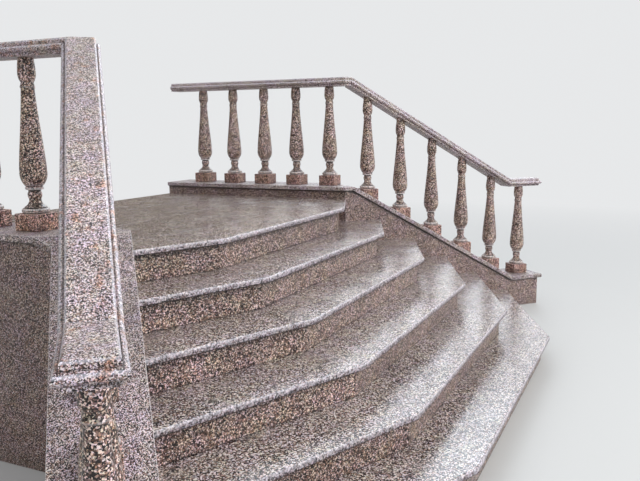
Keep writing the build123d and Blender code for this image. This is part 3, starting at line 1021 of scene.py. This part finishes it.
def turned_balusters(node, slot):
    """Balusters spun from their outline where the CAD node has them, cut off under the handrail."""
    plain = merged_copy(node)
    plain.verts.index_update()
    plain.normal_update()
    shape = bmesh.new()
    layer = shape.verts.layers.float.new(WEAR_AND_PAINTED_LIGHT)
    for island in islands(plain):
        foot, top, tilt = baluster_seat(island)
        outline = baluster_outline(top.z - foot.z, tilt.xy.length / tilt.z)
        start = len(shape.verts)
        verts = [shape.verts.new((foot.x + radius, foot.y, foot.z + rise)) for radius, rise in outline]
        # Rims are marked pale, wear with a painted highlight; grooves dark, dirt with painted shade.
        for vert, wear_and_painted_light in zip(verts, outline_wear_and_painted_light(outline)):
            vert[layer] = wear_and_painted_light
        edges = [shape.edges.new(pair) for pair in zip(verts, verts[1:])]
        bmesh.ops.spin(
            shape, geom=verts + edges, cent=foot, axis=(0, 0, 1), dvec=(0, 0, 0), angle=2 * pi,
            space=Matrix.Identity(4), steps=settings().turning.steps, use_merge=True,
            use_normal_flip=False, use_duplicate=False,
        )
        bmesh.ops.remove_doubles(shape, verts=verts_from(shape, start), dist=WELD)
        made = verts_from(shape, start)
        made_edges = {edge for vert in made for edge in vert.link_edges}
        made_faces = {face for vert in made for face in vert.link_faces}
        cut = bmesh.ops.bisect_plane(
            shape, geom=[*made, *made_edges, *made_faces], dist=WELD / 10, plane_co=top,
            plane_no=tilt, clear_outer=True,
        )
        rim = [part for part in cut["geom_cut"] if isinstance(part, bmesh.types.BMEdge)]
        bmesh.ops.edgenet_fill(shape, edges=rim)
    bmesh.ops.recalc_face_normals(shape, faces=shape.faces)
    plain.free()
    place_piece(shape, f"{node}_turned", slot, node, TURNED_SHARP_ANGLE)


class SlabOperator(bpy.types.Operator):
    """Cuts the treads, the landing's edging and its paving"""

    bl_idname = "steps.slabs"
    bl_label = "Treads and landing"

    def execute(self, context):
        for node in TREADS + ["landing_edging", "landing_paving"]:
            cut_stones(node, "polished_granite", settings().stones.slab_arris)
        return {"FINISHED"}


class RiserOperator(bpy.types.Operator):
    """Cuts the riser panels"""

    bl_idname = "steps.risers"
    bl_label = "Risers"

    def execute(self, context):
        for node in RISERS:
            cut_stones(node, "riser_granite", settings().stones.slab_arris)
        return {"FINISHED"}


class WallOperator(bpy.types.Operator):
    """Cuts the side walls and their copings"""

    bl_idname = "steps.walls"
    bl_label = "Walls and copings"

    def execute(self, context):
        size = settings().stones
        for side in SIDES:
            for part in ("landing_wall", "cheek_wall"):
                cut_stones(f"{side}_{part}", "wall_granite", size.wall_arris, coping_shadow=size.coping_shadow_depth)
            for part in ("landing_coping", "rake_coping", "end_coping"):
                cut_stones(f"{side}_{part}", "coping_granite", size.wall_arris, dirt_and_shade_below=size.coping_dirt_and_shade_below)
        return {"FINISHED"}


class BlockOperator(bpy.types.Operator):
    """Cuts the square blocks under the balusters"""

    bl_idname = "steps.blocks"
    bl_label = "Blocks"

    def execute(self, context):
        size = settings().stones
        for side in SIDES:
            for part in ("landing_blocks", "rake_blocks"):
                cut_stones(f"{side}_{part}", "block_granite", size.block_arris, dirt_and_shade_below=size.block_dirt_and_shade_below)
        return {"FINISHED"}


class BalusterOperator(bpy.types.Operator):
    """Turns the balusters"""

    bl_idname = "steps.balusters"
    bl_label = "Balusters"

    def execute(self, context):
        for side in SIDES:
            for part in ("landing_balusters", "rake_balusters"):
                turned_balusters(f"{side}_{part}", "baluster_granite")
        return {"FINISHED"}


class RailOperator(bpy.types.Operator):
    """Cuts the moulded handrails"""

    bl_idname = "steps.rails"
    bl_label = "Handrails"

    def execute(self, context):
        size = settings().stones
        for side in SIDES:
            for part in ("landing_rail", "rake_rail", "end_rail"):
                cut_stones(f"{side}_{part}", "rail_granite", size.rail_arris, dirt_and_shade_below=size.rail_dirt_and_shade_below)
        return {"FINISHED"}


class CoreOperator(bpy.types.Operator):
    """Gives the hidden fill its concrete"""

    bl_idname = "steps.cores"
    bl_label = "Fill"

    def execute(self, context):
        for node in ("landing_core", "step_core"):
            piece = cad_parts[node]
            piece.data.materials.clear()
            piece.data.materials.append(finish("core_concrete"))
        return {"FINISHED"}


def floor_finish(look):
    """Pale floor that keeps the steps' shadow and fades into the backdrop far from them."""
    material, tree, shader = shader_tree("floor")
    shader.inputs["Base Color"].default_value = (*look.floor_colour, 1.0)
    shader.inputs["Roughness"].default_value = 0.9
    far = add(tree, "ShaderNodeVectorMath", {0: object_place(tree)}, operation="LENGTH").outputs["Value"]
    seen = tree.nodes.new("ShaderNodeLightPath").outputs["Is Camera Ray"]
    share = product(tree, mapped(tree, far, *FLOOR_FADE), seen)
    glow = add(tree, "ShaderNodeEmission", {"Color": (*look.backdrop_colour, 1.0)})
    both = add(tree, "ShaderNodeMixShader", {"Fac": share, 1: shader.outputs[0], 2: glow.outputs[0]})
    tree.links.new(both.outputs[0], tree.nodes["Material Output"].inputs["Surface"])
    return material


def stage_floor(look):
    """Wide flat floor just under the steps."""
    shape = bmesh.new()
    bmesh.ops.create_grid(shape, x_segments=1, y_segments=1, size=FLOOR_REACH)
    bmesh.ops.translate(shape, verts=shape.verts, vec=(0.0, 0.0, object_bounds()[0].z - FLOOR_GAP))
    mesh = bpy.data.meshes.new("floor")
    shape.to_mesh(mesh)
    shape.free()
    floor = bpy.data.objects.new("floor", mesh)
    bpy.context.scene.collection.objects.link(floor)
    mesh.materials.append(floor_finish(look))
    floor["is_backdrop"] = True


def studio_world(look):
    """Plain pale backdrop, and soft light that is bright low in front and dim low at the back."""
    world = bpy.data.worlds.new("studio")
    bpy.context.scene.world = world
    world.use_nodes = True
    tree = world.node_tree
    tree.nodes.clear()
    output = tree.nodes.new("ShaderNodeOutputWorld")
    direction = tree.nodes.new("ShaderNodeTexCoord").outputs["Generated"]
    flat = vector_maths(tree, "NORMALIZE", scaled(tree, direction, (1.0, 1.0, 0.0)))
    backward = mapped(tree, along(tree, flat, "Y"), 0.20, 0.55)
    leftward = mapped(tree, along(tree, flat, "X"), -0.30, -0.90, 1.0, look.left_share)
    low = mapped(tree, backward, 0.0, 1.0, look.open_light, look.back_light)
    low = product(tree, low, leftward)
    height = mapped(tree, along(tree, direction, "Z"), 0.18, 0.65)
    strength = add(tree, "ShaderNodeMix", {0: height, 2: low, 3: look.top_light}).outputs[0]
    inputs = {0: direction, 1: look.sheen_direction}
    toward = add(tree, "ShaderNodeVectorMath", inputs, operation="DOT_PRODUCT").outputs["Value"]
    sheen = mapped(tree, toward, 0.945, 0.995)
    strength = maths(tree, "ADD", strength, product(tree, sheen, look.sheen_light))
    warm = product(tree, backward, maths(tree, "SUBTRACT", 1.0, height))
    hue = mix_colours(tree, warm, look.open_colour, look.back_colour)
    hue = mix_colours(tree, sheen, hue, look.sheen_colour)
    light = add(tree, "ShaderNodeBackground", {"Color": hue, "Strength": strength})
    seen = add(tree, "ShaderNodeBackground", {"Color": (*look.backdrop_colour, 1.0)})
    path = tree.nodes.new("ShaderNodeLightPath").outputs
    through = maths(tree, "MAXIMUM", path["Is Camera Ray"], path["Is Transmission Ray"])
    both = add(tree, "ShaderNodeMixShader", {"Fac": through, 1: light.outputs[0], 2: seen.outputs[0]})
    tree.links.new(both.outputs[0], output.inputs["Surface"])


def key_light(look):
    """Large soft lamp high in front of the steps."""
    lamp = bpy.data.lights.new("key", "AREA")
    lamp.shape = "RECTANGLE"
    lamp.size = look.key_width
    lamp.size_y = look.key_height
    lamp.energy = look.key_power
    lamp.color = look.key_colour
    holder = bpy.data.objects.new("key", lamp)
    bpy.context.scene.collection.objects.link(holder)
    holder.location = look.key_place
    aim = Vector(look.key_target) - Vector(look.key_place)
    holder.rotation_euler = aim.to_track_quat("-Z", "Y").to_euler()


def stage_camera(look):
    """Camera beside the left handrail, at eye height."""
    lens = bpy.data.cameras.new("camera")
    lens.sensor_fit = "HORIZONTAL"
    lens.sensor_width = SENSOR_WIDTH
    lens.lens = look.lens
    holder = bpy.data.objects.new("camera", lens)
    bpy.context.scene.collection.objects.link(holder)
    forward = Vector(
        (cos(look.pitch) * cos(look.heading), cos(look.pitch) * sin(look.heading), -sin(look.pitch))
    )
    turn = forward.to_track_quat("-Z", "Y").to_matrix() @ Matrix.Rotation(look.roll, 3, "Z")
    holder.rotation_euler = turn.to_euler()
    holder.location = look.camera_place
    bpy.context.scene.camera = holder


class StageOperator(bpy.types.Operator):
    """Sets the floor, the light and the camera"""

    bl_idname = "steps.stage"
    bl_label = "Stage"

    def execute(self, context):
        look = settings().stage
        stage_floor(look)
        studio_world(look)
        key_light(look)
        stage_camera(look)
        context.scene.view_settings.view_transform = "Standard"
        return {"FINISHED"}


class StepsSettings(bpy.types.PropertyGroup):
    """All settings of the steps."""

    granite: PointerProperty(type=GraniteSettings, name="Granite", description="Minerals")
    patina: PointerProperty(type=PatinaSettings, name="Patina", description="Wear, dirt and weather")
    stones: PointerProperty(type=StoneSettings, name="Stones", description="Worked edges")
    turning: PointerProperty(type=TurningSettings, name="Turning", description="Outline of a baluster")
    stage: PointerProperty(type=StageSettings, name="Stage", description="Camera, floor and light")


OPERATORS = (
    CoreOperator,
    SlabOperator,
    RiserOperator,
    WallOperator,
    BlockOperator,
    BalusterOperator,
    RailOperator,
    StageOperator,
)


class StepsPanel(bpy.types.Panel):
    """Lists the operators and the settings of the steps"""

    bl_idname = "VIEW3D_PT_steps"
    bl_label = "Granite steps"
    bl_space_type = "VIEW_3D"
    bl_region_type = "UI"
    bl_category = "Steps"

    def draw(self, context):
        for operator in OPERATORS:
            self.layout.operator(operator.bl_idname)
        for group in ("granite", "patina", "stones", "turning", "stage"):
            owner = getattr(settings(), group)
            box = self.layout.box()
            for name in owner.bl_rna.properties.keys():
                if name not in ("rna_type", "name"):
                    box.prop(owner, name)


CLASSES = (
    GraniteSettings,
    PatinaSettings,
    StoneSettings,
    TurningSettings,
    StageSettings,
    StepsSettings,
    *OPERATORS,
    StepsPanel,
)


def register():
    for item in CLASSES:
        bpy.utils.register_class(item)
    bpy.types.Scene.steps = PointerProperty(
        type=StepsSettings, name="Steps", description="Settings of the granite steps"
    )


def unregister():
    del bpy.types.Scene.steps
    for item in reversed(CLASSES):
        bpy.utils.unregister_class(item)


def main():
    """Registers the classes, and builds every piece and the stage."""
    register()
    bpy.ops.steps.cores()
    bpy.ops.steps.slabs()
    bpy.ops.steps.risers()
    bpy.ops.steps.walls()
    bpy.ops.steps.blocks()
    bpy.ops.steps.balusters()
    bpy.ops.steps.rails()
    bpy.ops.steps.stage()


if __name__ == "__main__":
    main()
